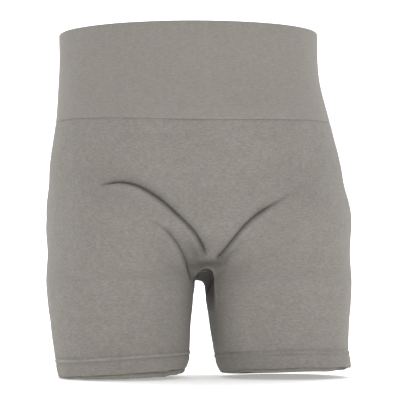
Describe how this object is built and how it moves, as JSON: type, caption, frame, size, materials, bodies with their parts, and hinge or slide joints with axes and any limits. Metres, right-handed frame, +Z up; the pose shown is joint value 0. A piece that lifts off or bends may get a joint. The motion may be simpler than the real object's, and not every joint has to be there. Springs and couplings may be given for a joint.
{
  "type": "high-waist knitted shorts",
  "caption": "Close-fitting knitted shorts with a wide folded waistband, a lined gusset and turned-up hems, shaped as they are when worn.",
  "frame": {"origin": "on the floor, under the middle of the bounding box, between the two legs", "axes": "+Z up from the hems to the waist, -Y out of the wearer's front, +X towards the wearer's left"},
  "size_m": [0.338, 0.2454, 0.378],
  "materials": {
    "body_knit": "heather taupe grey plain knit, matt",
    "band_knit": "smoother and slightly paler taupe grey knit, matt",
    "hem_knit": "taupe grey knit turned up double, matt",
    "lining_knit": "inner face of the knit, matt",
    "elastic": "white woven elastic",
    "thread": "textured sewing thread in the body's colour",
    "label": "blank white satin ribbon"
  },
  "bodies": {
    "shorts": {"body": "body_knit", "gusset": "body_knit", "gusset_lining": "lining_knit", "waistband_outer": "band_knit", "waistband_facing": "lining_knit", "waist_elastic": "elastic", "waist_seam_thread": "thread", "left_hem": "hem_knit", "right_hem": "hem_knit", "left_hem_thread": "thread", "right_hem_thread": "thread", "left_inseam_thread": "thread", "right_inseam_thread": "thread", "left_gusset_thread": "thread", "right_gusset_thread": "thread", "size_tab": "label"},
    "care_label": {"care_label": "label"}
  },
  "joints": [
    {"name": "care_label_swing", "type": "hinge", "parent": "shorts", "child": "care_label", "pos_m": [-0.00699, 0.08987, 0.284], "axis": [-1, 0, 0], "range_deg": [0, 120]}
  ]
}
